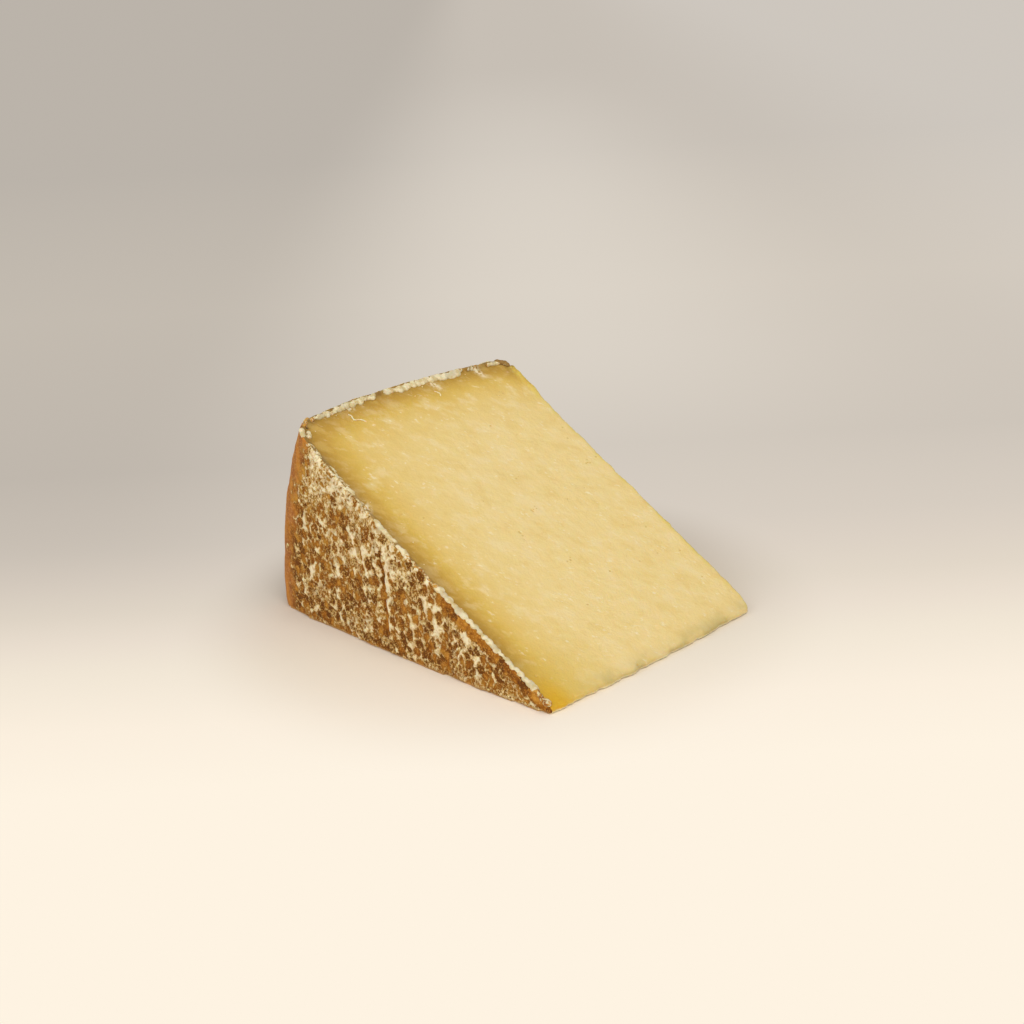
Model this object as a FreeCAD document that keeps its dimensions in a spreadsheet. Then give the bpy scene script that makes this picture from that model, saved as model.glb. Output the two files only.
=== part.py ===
"""Wedge of Cantal cheese, cut from a large drum and lying on one of its two cut faces.

Frame, in millimetres: the wedge rests on the plane Z = 0.  X runs from the drum's side (-X)
to the thin edge, where the drum's axis was (+X).  Y runs along that axis, from the drum's
rind-covered flat end (-Y) to the plain cut end (+Y).  The origin is under the middle of the
wedge's box.  Inside the body the drum's axis is the Y axis and the lower cut face is XY.
"""
import FreeCAD
import Part
import Sketcher
import math
import os

NODE = "cheese_wedge"
SIZES = {
    # the drum that the wedge was cut from: its widest radius, how far the side bulges, the
    # round between side and flat end, and the flat end's slight crown
    "drum_radius": 208.5,
    "side_bulge": 5.0,
    "shoulder_radius": 14.0,
    "crown_radius": 1450.0,
    "crown_middle": 125.0,
    # the cuts
    "sector_angle": 30.4,
    "wedge_length": 147.0,
    "cut_corner_radius": 8.0,
    "thin_edge_radius": 2.0,
    # the crust's rim: the paste of the upper cut face lies lower than the rind round it
    "rim_width": 3.0,
    "rim_rise": 1.2,
    "rim_round": 0.9,
    "rim_tip_gap": 14.0,
}
# the barrel's arc across half the length, rising by side_bulge
SIDE_RADIUS = "((Sizes.wedge_length / 2)^2 + Sizes.side_bulge^2) / (2 * Sizes.side_bulge)"

# the rim's round is limited by its wall
RIM_ROUND = "min(Sizes.rim_round; Sizes.rim_rise * 0.8; Sizes.rim_width * 0.4)"

START, END, CENTRE = 1, 2, 3
ORIGIN = (-1, START)
VERTICAL_AXIS = -2
NEAR = 1e-6
CLEAR = 20.0


def add_sheet(doc):
    """The driving dimensions, one to a row, each with its alias."""
    sheet = doc.addObject("Spreadsheet::Sheet", "Sizes")
    for row, (name, value) in enumerate(SIZES.items(), start=1):
        sheet.set(f"A{row}", name)
        sheet.set(f"B{row}", str(value))
        sheet.setAlias(f"B{row}", name)
    doc.recompute()


def add_sketch(body, name):
    """A sketch on the body's XY plane."""
    sketch = body.newObject("Sketcher::SketchObject", name)
    plane = next(item for item in body.Origin.OriginFeatures if item.Role == "XY_Plane")
    sketch.AttachmentSupport = [(plane, "")]
    sketch.MapMode = "FlatFace"
    return sketch


def bind(sketch, kind, places, value, name, rule):
    """Add a named dimension to a sketch and tie it to the sheet."""
    sketch.addConstraint(Sketcher.Constraint(kind, *places, value))
    sketch.renameConstraint(sketch.ConstraintCount - 1, name)
    sketch.setExpression(f"Constraints.{name}", rule)


def heading(start, end):
    """The angle of the way from one point to another, from 0 to a full turn."""
    return math.atan2(end[1] - start[1], end[0] - start[0]) % (2 * math.pi)


def first_arcs(inset):
    """Middle, radius and two angles of the rind's four arcs, before any constraint holds them.

    They run from the cut end round the corner, along the drum's side, round its shoulder and
    over its crowned flat end to the axis.
    """
    half = SIZES["wedge_length"] / 2
    bulge = SIZES["side_bulge"]
    side = (half**2 + bulge**2) / (2 * bulge)
    side_middle = (side - SIZES["drum_radius"], half)
    crown = SIZES["crown_radius"]
    crown_middle = (-SIZES["crown_middle"], crown)

    # the corner touches the side from inside and ends level with the cut
    corner = SIZES["cut_corner_radius"]
    rise = half - corner
    corner_middle = (side_middle[0] - math.sqrt((side - corner) ** 2 - rise**2), half + rise)

    # the shoulder touches both the side and the crown from inside
    shoulder = SIZES["shoulder_radius"]
    gap = math.dist(side_middle, crown_middle)
    along = ((side - shoulder) ** 2 - (crown - shoulder) ** 2 + gap**2) / (2 * gap)
    across = math.sqrt((side - shoulder) ** 2 - along**2)
    step_x = (crown_middle[0] - side_middle[0]) / gap
    step_y = (crown_middle[1] - side_middle[1]) / gap
    shoulder_middle = (
        side_middle[0] + along * step_x - across * step_y,
        side_middle[1] + along * step_y + across * step_x,
    )

    side_start = heading(side_middle, corner_middle)
    side_end = heading(side_middle, shoulder_middle)
    crown_start = heading(crown_middle, shoulder_middle)
    crown_end = heading(crown_middle, (0, 0))
    return [
        (corner_middle, corner - inset, math.pi / 2, side_start),
        (side_middle, side - inset, side_start, side_end),
        (shoulder_middle, shoulder - inset, side_end, crown_start),
        (crown_middle, crown - inset, crown_start, crown_end),
    ]


def add_rind_arcs(sketch, name, inset_rule="0", inset=0.0):
    """The rind's outline, moved in by an inset, as four tangent arcs; gives their numbers."""
    up = FreeCAD.Vector(0, 0, 1)
    corner, side, shoulder, crown = arcs = [
        sketch.addGeometry(
            Part.ArcOfCircle(Part.Circle(FreeCAD.Vector(x, y, 0), up, radius), start, end)
        )
        for (x, y), radius, start, end in first_arcs(inset)
    ]
    for arc, following in zip(arcs, arcs[1:]):
        sketch.addConstraint(Sketcher.Constraint("Tangent", arc, END, following, START))
    radius_rules = (
        "Sizes.cut_corner_radius",
        SIDE_RADIUS,
        "Sizes.shoulder_radius",
        "Sizes.crown_radius",
    )
    for arc, rule in zip(arcs, radius_rules):
        radius = sketch.Geometry[arc].Radius
        bind(sketch, "Radius", (arc,), radius, f"{name}_radius_{arc}", f"{rule} - {inset_rule}")

    corner_middle = sketch.Geometry[corner].Center
    side_middle = sketch.Geometry[side].Center
    crown_middle = sketch.Geometry[crown].Center
    across, along = "DistanceX", "DistanceY"
    for kind, places, value, place, rule in (
        (across, (*ORIGIN, side, CENTRE), side_middle.x, "side_x",
         f"{SIDE_RADIUS} - Sizes.drum_radius"),
        (along, (*ORIGIN, side, CENTRE), side_middle.y, "side_y", "Sizes.wedge_length / 2"),
        (across, (crown, CENTRE, *ORIGIN), -crown_middle.x, "crown_x", "Sizes.crown_middle"),
        (along, (*ORIGIN, crown, CENTRE), crown_middle.y, "crown_y", "Sizes.crown_radius"),
        (along, (*ORIGIN, corner, CENTRE), corner_middle.y, "corner_y",
         "Sizes.wedge_length - Sizes.cut_corner_radius"),
    ):
        bind(sketch, kind, places, value, f"{name}_{place}", rule)
    return corner, crown


def join(sketch, start, end):
    """A straight line between two ends that are already drawn, held to both."""
    line = sketch.addGeometry(Part.LineSegment(sketch.getPoint(*start), sketch.getPoint(*end)))
    sketch.addConstraint(Sketcher.Constraint("Coincident", line, START, *start))
    sketch.addConstraint(Sketcher.Constraint("Coincident", line, END, *end))
    return line


def add_sector(body):
    """The wedge without its rim: the drum's outline turned about its axis by the sector."""
    sketch = add_sketch(body, "Outline")
    corner, crown = add_rind_arcs(sketch, "rind")
    crown_end = sketch.getPoint(crown, END)
    axis_top = FreeCAD.Vector(0, SIZES["wedge_length"], 0)
    axis_line = sketch.addGeometry(Part.LineSegment(crown_end, axis_top))
    cut_line = join(sketch, (axis_line, END), (corner, START))
    for rule in (
        ("Coincident", axis_line, START, crown, END),
        ("PointOnObject", axis_line, START, VERTICAL_AXIS),
        ("PointOnObject", axis_line, END, VERTICAL_AXIS),
        ("Vertical", corner, START, corner, CENTRE),
        ("Horizontal", cut_line),
    ):
        sketch.addConstraint(Sketcher.Constraint(*rule))

    sector = body.newObject("PartDesign::Revolution", "Sector")
    sector.Profile = sketch
    sector.ReferenceAxis = (sketch, ["V_Axis"])
    sector.setExpression("Angle", "Sizes.sector_angle")


def add_cut_face(body):
    """The upper cut face: a shallow pocket that leaves the rind standing as a rim.

    The pocket's outline is the rind's, moved in by the rim's width, and runs clear of the
    wedge past the cut end and the thin edge, where there is no rim.
    """
    sketch = add_sketch(body, "Paste")
    tilt = FreeCAD.Rotation(FreeCAD.Vector(0, 1, 0), SIZES["sector_angle"])
    sketch.AttachmentOffset = FreeCAD.Placement(FreeCAD.Vector(), tilt)
    sketch.setExpression("AttachmentOffset.Rotation.Angle", "Sizes.sector_angle")
    corner, crown = add_rind_arcs(sketch, "inner", "Sizes.rim_width", SIZES["rim_width"])
    rim_end = (SIZES["cut_corner_radius"] - SIZES["rim_width"]) / 2
    bind(sketch, "DistanceX", (corner, START, corner, CENTRE), rim_end, "rim_end",
         "(Sizes.cut_corner_radius - Sizes.rim_width) / 2")
    bind(sketch, "DistanceX", (crown, END, *ORIGIN), SIZES["rim_tip_gap"], "rim_tip",
         "Sizes.rim_tip_gap")

    tip = sketch.getPoint(crown, END)
    start = sketch.getPoint(corner, START)
    top = SIZES["wedge_length"] + CLEAR
    outside = [
        FreeCAD.Vector(tip.x, -CLEAR, 0),
        FreeCAD.Vector(CLEAR, -CLEAR, 0),
        FreeCAD.Vector(CLEAR, top, 0),
        FreeCAD.Vector(start.x, top, 0),
    ]
    lines = [
        sketch.addGeometry(Part.LineSegment(near, far))
        for near, far in zip([tip, *outside], [*outside, start])
    ]
    first, bottom, right, upper, last = lines
    for near, far in zip([crown, *lines], [*lines, corner]):
        sketch.addConstraint(Sketcher.Constraint("Coincident", near, END, far, START))
    for line in (first, right, last):
        sketch.addConstraint(Sketcher.Constraint("Vertical", line))
    for line in (bottom, upper):
        sketch.addConstraint(Sketcher.Constraint("Horizontal", line))
    sketch.addConstraint(Sketcher.Constraint("DistanceX", *ORIGIN, bottom, END, CLEAR))
    sketch.addConstraint(Sketcher.Constraint("DistanceY", bottom, END, *ORIGIN, CLEAR))
    bind(sketch, "DistanceY", (*ORIGIN, right, END), top, "past_cut_end",
         f"Sizes.wedge_length + {CLEAR}")

    face = body.newObject("PartDesign::Pocket", "CutFace")
    face.Profile = sketch
    face.setExpression("Length", "Sizes.rim_rise")
    return face


def edges_where(feature, wanted):
    """The names of a feature's real edges whose two ends pass a test."""
    return [
        f"Edge{number}"
        for number, edge in enumerate(feature.Shape.Edges, start=1)
        if not edge.Degenerated and wanted(*(vertex.Point for vertex in edge.Vertexes))
    ]


def add_thin_edge(body, base):
    """The blunt edge where the two cut faces meet, beside the drum's axis."""

    def is_thin_edge(start, end):
        return max(start.z, end.z, abs(start.x - end.x)) < NEAR

    fillet = body.newObject("PartDesign::Fillet", "ThinEdge")
    fillet.Base = (base, edges_where(base, is_thin_edge))
    fillet.setExpression("Radius", "Sizes.thin_edge_radius")
    return fillet


def add_rim_round(body, base):
    """The rounded top of the rim: a fillet on every edge of its top face."""
    angle = math.radians(SIZES["sector_angle"])
    outward = FreeCAD.Vector(math.sin(angle), 0, math.cos(angle))

    def is_on_top(start, end):
        return max(abs(start.dot(outward)), abs(end.dot(outward))) < NEAR

    fillet = body.newObject("PartDesign::Fillet", "RimRound")
    fillet.Base = (base, edges_where(base, is_on_top))
    fillet.setExpression("Radius", RIM_ROUND)


def build():
    """The whole document, with the wedge's box over the origin."""
    doc = FreeCAD.newDocument("Cheese")
    add_sheet(doc)
    body = doc.addObject("PartDesign::Body", NODE)
    body.Label = NODE
    add_sector(body)
    cut_face = add_cut_face(body)
    doc.recompute()
    thin_edge = add_thin_edge(body, cut_face)
    doc.recompute()
    add_rim_round(body, thin_edge)
    doc.recompute()
    box = body.Shape.optimalBoundingBox()
    body.Placement = FreeCAD.Placement(
        FreeCAD.Vector(-box.Center.x, -box.Center.y, -box.ZMin), FreeCAD.Rotation()
    )
    doc.recompute()
    return doc, body


def check(doc, body):
    """Stop if any feature failed or the wedge isn't one sound solid."""
    for item in doc.Objects:
        if "Invalid" in item.State or "Error" in item.State:
            raise RuntimeError(f"{item.Label} failed: {item.State}")
    shape = body.Shape
    if shape.isNull() or not shape.isValid() or len(shape.Solids) != 1:
        raise RuntimeError(f"{body.Label} is not one valid solid")


doc, body = build()
check(doc, body)
os.makedirs("parts", exist_ok=True)
body.Shape.exportStep(f"parts/{body.Label}.step")
box = body.Shape.optimalBoundingBox()
print(f"{body.Label}: {box.XLength:.1f} x {box.YLength:.1f} x {box.ZLength:.1f} mm,",
      f"{body.Shape.Volume / 1000:.0f} cm3")
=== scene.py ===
"""The looks of a wedge of cantal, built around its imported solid.

The solid gives the cut planes, the rind and the rim. From them come the body's skin with its
curd, pits and uneven rind, the crust of dried mould along the rim, and a few crumbs.
Lengths are in metres and places are in the part's own frame.
"""

import math

import bmesh
import bpy
import numpy as np
from mathutils import Matrix, Vector, noise
from mathutils.bvhtree import BVHTree
from mathutils.kdtree import KDTree


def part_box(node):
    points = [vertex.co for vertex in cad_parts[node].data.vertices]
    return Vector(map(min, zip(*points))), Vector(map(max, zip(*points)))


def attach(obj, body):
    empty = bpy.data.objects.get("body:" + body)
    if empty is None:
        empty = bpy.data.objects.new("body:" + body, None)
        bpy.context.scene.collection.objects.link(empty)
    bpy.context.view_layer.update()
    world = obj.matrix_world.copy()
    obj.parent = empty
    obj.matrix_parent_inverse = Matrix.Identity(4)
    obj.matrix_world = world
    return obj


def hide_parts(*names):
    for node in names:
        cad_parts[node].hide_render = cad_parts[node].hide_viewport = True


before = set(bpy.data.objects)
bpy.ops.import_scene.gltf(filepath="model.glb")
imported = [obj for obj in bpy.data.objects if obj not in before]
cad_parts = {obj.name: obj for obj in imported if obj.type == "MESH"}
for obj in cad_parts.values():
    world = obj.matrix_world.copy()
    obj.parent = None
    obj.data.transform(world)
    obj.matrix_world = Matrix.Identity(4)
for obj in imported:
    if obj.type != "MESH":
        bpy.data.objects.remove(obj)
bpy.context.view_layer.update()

MM = 0.001
NODE = "cheese_wedge"
BODY = "root"
SEED = 7
TINY = 1e-15  # keeps a division by an empty length or weight from failing

noise.seed_set(SEED)  # without it, the clock seeds Blender's vector noise


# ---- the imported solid


def rows(items, attribute, stored=np.float32, kept=float):
    """The three numbers that each vertex, triangle or normal of a mesh has, one row each."""
    flat = np.empty(len(items) * 3, stored)
    items.foreach_get(attribute, flat)
    return flat.reshape(-1, 3).astype(kept)


def vertex_array(mesh):
    """The mesh's vertices, one row each."""
    return rows(mesh.vertices, "co")


def tree_of(points):
    """A tree that finds which of those points lie nearest to a place."""
    tree = KDTree(len(points))
    for index, point in enumerate(points):
        tree.insert(Vector(point), index)
    tree.balance()
    return tree


def smooth_step(low, high, value):
    """0 below low, 1 above high, and a smooth rise between them."""
    share = np.clip((value - low) / (high - low), 0, 1)
    return share * share * (3 - 2 * share)


def bell(value, width):
    """1 where the value is 0, fading away over that width on both sides."""
    return np.exp(-((value / width) ** 2))


def distances(tree, points):
    """How far each point lies from the tree's surface."""
    return np.array([tree.find_nearest(Vector(p))[3] for p in points])


class Wedge:
    """The cut planes and the rind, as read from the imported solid."""

    # how much of its length a sloping face's normal points up, and a rind face's normal outwards
    SLOPING = (0.5, 0.99)
    OUTWARD = 0.35

    def __init__(self, node):
        self.points = vertex_array(node.data)
        node.data.calc_loop_triangles()
        self.triangles = rows(node.data.loop_triangles, "vertices", np.int32, int)
        self.low, self.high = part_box(node.name)
        first, second, third = (self.points[self.triangles[:, k]] for k in range(3))
        cross = np.cross(second - first, third - first)
        doubled = np.linalg.norm(cross, axis=1) + TINY
        self.normals = cross / doubled[:, None]
        self.centres = (first + second + third) / 3
        self.find_paste(doubled)
        self.find_rind()

    def find_paste(self, weights):
        """The upper cut face is the plane of the largest triangle that slopes."""
        least, most = self.SLOPING
        sloping = (self.normals[:, 2] > least) & (self.normals[:, 2] < most)
        largest = np.argmax(weights * sloping)
        self.up = self.normals[largest]
        self.level = float(self.centres[largest] @ self.up)
        self.axis_x = self.level / self.up[0]
        self.away = np.array([-self.up[2], 0, self.up[0]])

    def find_rind(self):
        """Rind is what faces away from the drum's axis, or along it at the covered end."""
        radial = self.centres - [self.axis_x, 0, 0]
        radial[:, 1] = 0
        radial /= np.linalg.norm(radial, axis=1)[:, None] + TINY
        outward = (self.normals * radial).sum(axis=1)
        below = self.height(self.centres) < 0
        side = below & (outward > self.OUTWARD)
        end = below & (self.normals[:, 1] < -self.OUTWARD)
        vectors = [Vector(p) for p in self.points]
        self.rind, self.side, self.end = (
            BVHTree.FromPolygons(vectors, self.triangles[chosen].tolist())
            for chosen in (side | end, side, end)
        )

    def height(self, points):
        """How far each point is above the plane of the upper cut face."""
        return points @ self.up - self.level

    def rind_depth(self, points):
        """How far each point lies from the rind's surface."""
        return distances(self.rind, points)

    def ripening_depth(self, points):
        """As rind_depth, but less where the drum's side and its end are both near."""
        side, end = (distances(tree, points) + 0.1 * MM for tree in (self.side, self.end))
        return (side ** -2 + end ** -2) ** -0.5


class RimPath:
    """The rind's edge on the upper cut face, from the plain cut end to the thin edge's tip."""

    RAYS = 720
    # how far inside the plain cut end, and below the upper cut face, the rays start
    INSET = 1 * MM
    BELOW = 0.3 * MM
    # the path's step, and how many points on each side smooth its direction
    STEP = 0.5 * MM
    SMOOTHING = 4

    def __init__(self, wedge):
        corner = np.array([wedge.axis_x, wedge.high[1] - self.INSET, 0])
        corner += wedge.away * self.INSET - wedge.up * self.BELOW
        turns = np.linspace(0, math.pi / 2, self.RAYS)
        rays = [math.cos(t) * wedge.away - math.sin(t) * np.array([0, 1, 0]) for t in turns]
        found = [wedge.rind.ray_cast(Vector(corner), Vector(ray))[0] for ray in rays]
        hits = np.array([hit for hit in found if hit is not None])
        run = np.r_[0, np.cumsum(np.linalg.norm(np.diff(hits, axis=0), axis=1))]
        self.length = run[-1]
        self.along = np.arange(0, self.length, self.STEP)
        self.points = np.c_[tuple(np.interp(self.along, run, hits[:, k]) for k in range(3))]
        self.points -= np.outer(wedge.height(self.points), wedge.up)
        self.tangents = np.gradient(self.smoothed(), axis=0)
        self.tangents /= np.linalg.norm(self.tangents, axis=1)[:, None]
        self.inwards = np.cross(self.tangents, wedge.up)
        self.inwards *= np.sign(self.inwards[0] @ (corner - self.points[0]))
        self.up = wedge.up
        self.tree = tree_of(self.points)

    def smoothed(self):
        """The path's points, each the mean of its neighbours."""
        reach = self.SMOOTHING
        padded = np.pad(self.points, ((reach, reach), (0, 0)), mode="reflect", reflect_type="odd")
        return sum(padded[k:k + len(self.points)] for k in range(2 * reach + 1)) / (2 * reach + 1)

    def locate(self, points):
        """For each point: how far along the rim it is, and how far inwards from it."""
        nearest = np.array([self.tree.find(Vector(p))[1] for p in points])
        inward = ((points - self.points[nearest]) * self.inwards[nearest]).sum(axis=1)
        return self.along[nearest], inward

    def index(self, along):
        """The number of the path's point at that distance along it."""
        return min(max(round(along / self.STEP), 0), len(self.points) - 1)

    def place(self, along, inward, height):
        """The point at that distance along the rim, inwards of it and above the cut face."""
        index = self.index(along)
        return self.points[index] + self.inwards[index] * inward + self.up * height


wedge = Wedge(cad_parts[NODE])
rim = RimPath(wedge)


# ---- making meshes


def new_object(name, mesh):
    """A linked object that shows the mesh."""
    obj = bpy.data.objects.new(name, mesh)
    bpy.context.scene.collection.objects.link(obj)
    return obj


def mesh_from(name, points, faces):
    """A mesh of those points and faces."""
    mesh = bpy.data.meshes.new(name)
    mesh.from_pydata([tuple(p) for p in points], [], [tuple(f) for f in faces])
    return mesh


def even_mesh(mesh, voxel):
    """The closed surface of a mesh, made again of even squares."""
    obj = new_object("even", mesh)
    modifier = obj.modifiers.new("even", "REMESH")
    modifier.mode = "VOXEL"
    modifier.voxel_size = voxel
    graph = bpy.context.evaluated_depsgraph_get()
    made = bpy.data.meshes.new_from_object(obj.evaluated_get(graph))
    bpy.data.objects.remove(obj)
    return made


def refine(mesh, wanted):
    """Cuts each wanted face into four."""
    form = bmesh.new()
    form.from_mesh(mesh)
    form.faces.ensure_lookup_table()
    edges = {edge for index in np.flatnonzero(wanted) for edge in form.faces[index].edges}
    bmesh.ops.subdivide_edges(form, edges=list(edges), cuts=1, use_grid_fill=True)
    form.to_mesh(mesh)
    form.free()


def move_vertices(mesh, points):
    """Puts the mesh's vertices at those points."""
    mesh.vertices.foreach_set("co", points.astype(np.float32).ravel())
    mesh.update()


def store(mesh, name, values):
    """Keeps a number for each vertex, which the material reads by that name."""
    attribute = mesh.attributes.new(name, "FLOAT", "POINT")
    attribute.data.foreach_set("value", np.asarray(values, np.float32))


# how much fainter, as a power of two, and how much finer each octave of noise is than the last
FAINTER = 0.9
FINER = 2.0


def lumps(points, size, octaves=3):
    """Noise of about -1 to 1 at each point, whose broadest swells have that size.

    A number of metres added to the points gives another noise of the same kind.
    """
    return np.array([noise.fractal(Vector(p), FAINTER, FINER, octaves) for p in points / size])


def drift(points, size):
    """A smoothly varying direction of length 0 to 1 at each point."""
    return np.array([noise.noise_vector(Vector(p)) for p in points / size])


# ---- mould on the rind

VOXEL = 1.1 * MM
# the net's cells: their spacing in mm, and how much taller than wide they are
WIDE_CELL = 3.6
WIDE_TALL = 1.3
FINE_CELL = 2.0
FINE_TALL = 1.5
# the thinnest and thickest that the layer of mould is counted, in mm
BARE = -3.0
THICKEST = 1.5


class Cells:
    """Irregular cells that share out the rind, each round a seed."""

    def __init__(self, rng, places, spacing, tall):
        """The places lie a voxel apart, and the seeds about the spacing that each place asks."""
        self.squash = np.array([1, 1, 1 / tall])
        weights = (VOXEL / spacing) ** 2 / tall
        count = round(weights.sum())
        chosen = rng.choice(len(places), count, replace=False, p=weights / weights.sum())
        self.spacing = spacing[chosen]
        self.tones = rng.uniform(0, 1, count)
        self.plant(places[chosen])
        owner = self.measure(places)[2]
        share = np.bincount(owner, weights, count)[:, None] + TINY
        sums = [np.bincount(owner, weights * column, count) for column in places.T]
        self.plant(np.column_stack(sums) / share)

    def plant(self, seeds):
        """Puts the cells' seeds at those places."""
        self.tree = tree_of(seeds * self.squash)

    def measure(self, points):
        """The distances to the nearest border and to the nearest seed, and the seed's number."""
        found = [self.tree.find_n(Vector(p), 2) for p in points * self.squash]
        first = np.array([f[0][2] for f in found])
        second = np.array([f[1][2] for f in found])
        return (second - first) / 2, first, np.array([f[0][1] for f in found])


class Mould:
    """A net of dried mould over the rind: wide cells, with finer ones in places."""

    def __init__(self, rng, places):
        toward_tip = smooth_step(-70 * MM, 20 * MM, places[:, 0])
        wide = MM * (WIDE_CELL + 0.5 * toward_tip + 0.6 * lumps(places, 25 * MM, 2))
        self.wide = Cells(rng, places, wide, WIDE_TALL)
        self.fine = Cells(rng, places, np.full(len(places), FINE_CELL * MM), FINE_TALL)

    def net(self, points, drawn, wider):
        """Threads between the wide cells and knots where they meet, in mm; and the cells' tones."""
        border, middle, cell = self.wide.measure(drawn)
        border, middle, spacing = border / MM, middle / MM, self.wide.spacing[cell] / MM
        width = 0.13 + 0.4 * lumps(points, 14 * MM, 2) + 0.35 * lumps(points + 3, 5 * MM, 2)
        width += wider
        threads = np.where(width < 0, 3 * width, width) - border
        knots = 0.7 * (middle - 0.58 * spacing) + np.minimum(width, 0)
        return np.maximum(threads, knots), self.wide.tones[cell]

    def lace(self, points, drawn, toward_rim):
        """Threads between the fine cells, in mm, which show in places and by the rim."""
        toward_drum = smooth_step(0, -60 * MM, points[:, 0])
        laced = lumps(points + 9, 13 * MM, 2) + 0.3 * toward_rim * (1 + 0.3 * toward_drum) - 0.05
        shown = smooth_step(-0.1, 0.35, laced)
        return 0.25 * shown - 1.4 * (1 - shown) - self.fine.measure(drawn)[0] / MM

    def measure(self, points):
        """How thickly mould lies at each point, in mm, bare below 0; and the cell's own tone."""
        drawn = points + 1.5 * MM * drift(points, 5 * MM) + 0.5 * MM * drift(points + 1, 1.8 * MM)
        toward_rim = smooth_step(-24 * MM, -5 * MM, wedge.height(points))
        toward_tip = smooth_step(0, 40 * MM, points[:, 0])
        upper = smooth_step(35 * MM, 80 * MM, points[:, 2]) - 0.2
        wider = 0.1 * toward_rim + 0.2 * toward_tip + 0.3 * upper
        net, tones = self.net(points, drawn, wider)
        lace = self.lace(points, drawn, toward_rim)
        patches = 1.5 * lumps(points + 7, 4.5 * MM, 3) + 0.8 * lumps(points + 8, 22 * MM, 1)
        patches += 0.3 * toward_rim - 0.4 * toward_tip + 0.3 * upper - 0.6
        thickness = np.maximum(net, np.maximum(lace, patches))
        thickness += 0.3 * lumps(points + 11, 1.7 * MM, 2)
        return np.clip(thickness, BARE, THICKEST), tones + 0.4 * upper


# ---- the body's skin

PIT_COUNT = 36
TORN_CURDS = 9
TORN_REACH = 2.6 * MM
CREASES = (
    # across, bottom, top and depth of the folds that the cloth left on the covered end
    (-4.5 * MM, 12 * MM, 64 * MM, 0.75 * MM),
    (38 * MM, 4 * MM, 30 * MM, 0.5 * MM),
    (-46 * MM, 20 * MM, 74 * MM, 0.4 * MM),
)
SMEARS = (
    # along the rim, reach inwards, half width: where the knife drew mould over the paste
    (24 * MM, 13 * MM, 2.0 * MM),
    (56 * MM, 15 * MM, 2.2 * MM),
    (111 * MM, 8 * MM, 2.5 * MM),
    (203 * MM, 7 * MM, 3.5 * MM),
)
# how far a fold reaches behind the covered end's face, and how wide it is
FOLD_REACH = 12 * MM
FOLD_WIDTH = 1.6 * MM
# mould lies in a streak by the folds that are deeper than this
STREAKED_FOLD = 0.6 * MM
# where the rim is cracked, along it, and how wide the crack is
CRACK = 142.8 * MM
CRACK_WIDTH = 0.6 * MM
# how far handling wore the mould off round the drum's shoulder: down its end and along its side
BARE_STRIP = 20 * MM
SHOULDER = 15 * MM
# how far below the upper cut face the rim's looks reach
RIM_REACH = 4 * MM
# how far the thin edge bows out, and how deep and wide its far corner is chipped
EDGE_BOW = 1.8 * MM
CHIP_DEPTH = 2.0 * MM
CHIP_WIDTH = 6 * MM
# what lies lower is the underside, and stays flat
UNDERSIDE = 0.3 * MM


class Pits:
    """Small holes in the cut faces, some of them crowded where a curd tore."""

    def __init__(self, rng, places):
        chosen = rng.choice(len(places), PIT_COUNT, replace=False)
        for middle in places[rng.choice(len(places), TORN_CURDS, replace=False)]:
            close = np.flatnonzero(np.linalg.norm(places - middle, axis=1) < TORN_REACH)
            chosen = np.r_[chosen, rng.choice(close, rng.integers(2, 6))]
        count = len(chosen)
        self.places = places[chosen]
        self.radii = rng.uniform(0.35, 0.8, count) * MM
        self.depths = self.radii * rng.uniform(0.2, 0.65, count)
        self.tree = tree_of(self.places)

    def nearest(self, points):
        """The number of the nearest pit to each point, and how far away it is."""
        found = [self.tree.find(Vector(p))[1:] for p in points]
        return np.array([f[0] for f in found]), np.array([f[1] for f in found])

    def hollow(self, points):
        """How far into a pit each point lies, from 0 outside to 1 in the middle, and how deep."""
        index, distance = self.nearest(points)
        ragged = 1 + 0.35 * lumps(points, 0.9 * MM, 1)
        share = np.clip(1 - (distance / (self.radii[index] * ragged)) ** 2, 0, 1)
        return share, share ** 0.8 * self.depths[index]


def flattened():
    """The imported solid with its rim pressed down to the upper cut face."""
    above = np.maximum(wedge.height(wedge.points), 0)
    points = wedge.points - np.outer(above, wedge.up)
    return mesh_from("flattened", points, wedge.triangles)


def creases(points):
    """How deep the cloth's folds are at each point, and the share of a mould streak by them."""
    depths, streaks = np.zeros(len(points)), np.zeros(len(points))
    wander = 1.6 * MM * lumps(points * [0, 0, 1], 14 * MM, 2)
    wander += 2.2 * MM * lumps(points + 2, 6 * MM, 2)
    uneven = np.clip(1 + 1.2 * lumps(points + 4, 9 * MM, 2), 0.1, 1.4)
    front = points[:, 1] < wedge.low[1] + FOLD_REACH
    for across, bottom, top, depth in CREASES:
        ends = smooth_step(bottom - 8 * MM, bottom, points[:, 2])
        ends *= 1 - smooth_step(top - 8 * MM, top, points[:, 2])
        beside = points[:, 0] - across - wander
        depths += front * ends * depth * uneven * bell(beside, FOLD_WIDTH)
        streak = bell(beside - 3 * MM, 1.9 * MM)
        streaks += front * ends * (depth > STREAKED_FOLD) * streak
    return depths, streaks * (0.4 + 1.4 * lumps(points + 5, 8 * MM, 2))


def rind_relief(points, mould, folds):
    """How far the rind stands out of the smooth drum at each point."""
    relief = 0.8 * MM * lumps(points, 30 * MM) + 0.25 * MM * lumps(points + 1, 7 * MM)
    return relief + 0.45 * MM * smooth_step(-0.5, 0.9, mould) - folds


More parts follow.
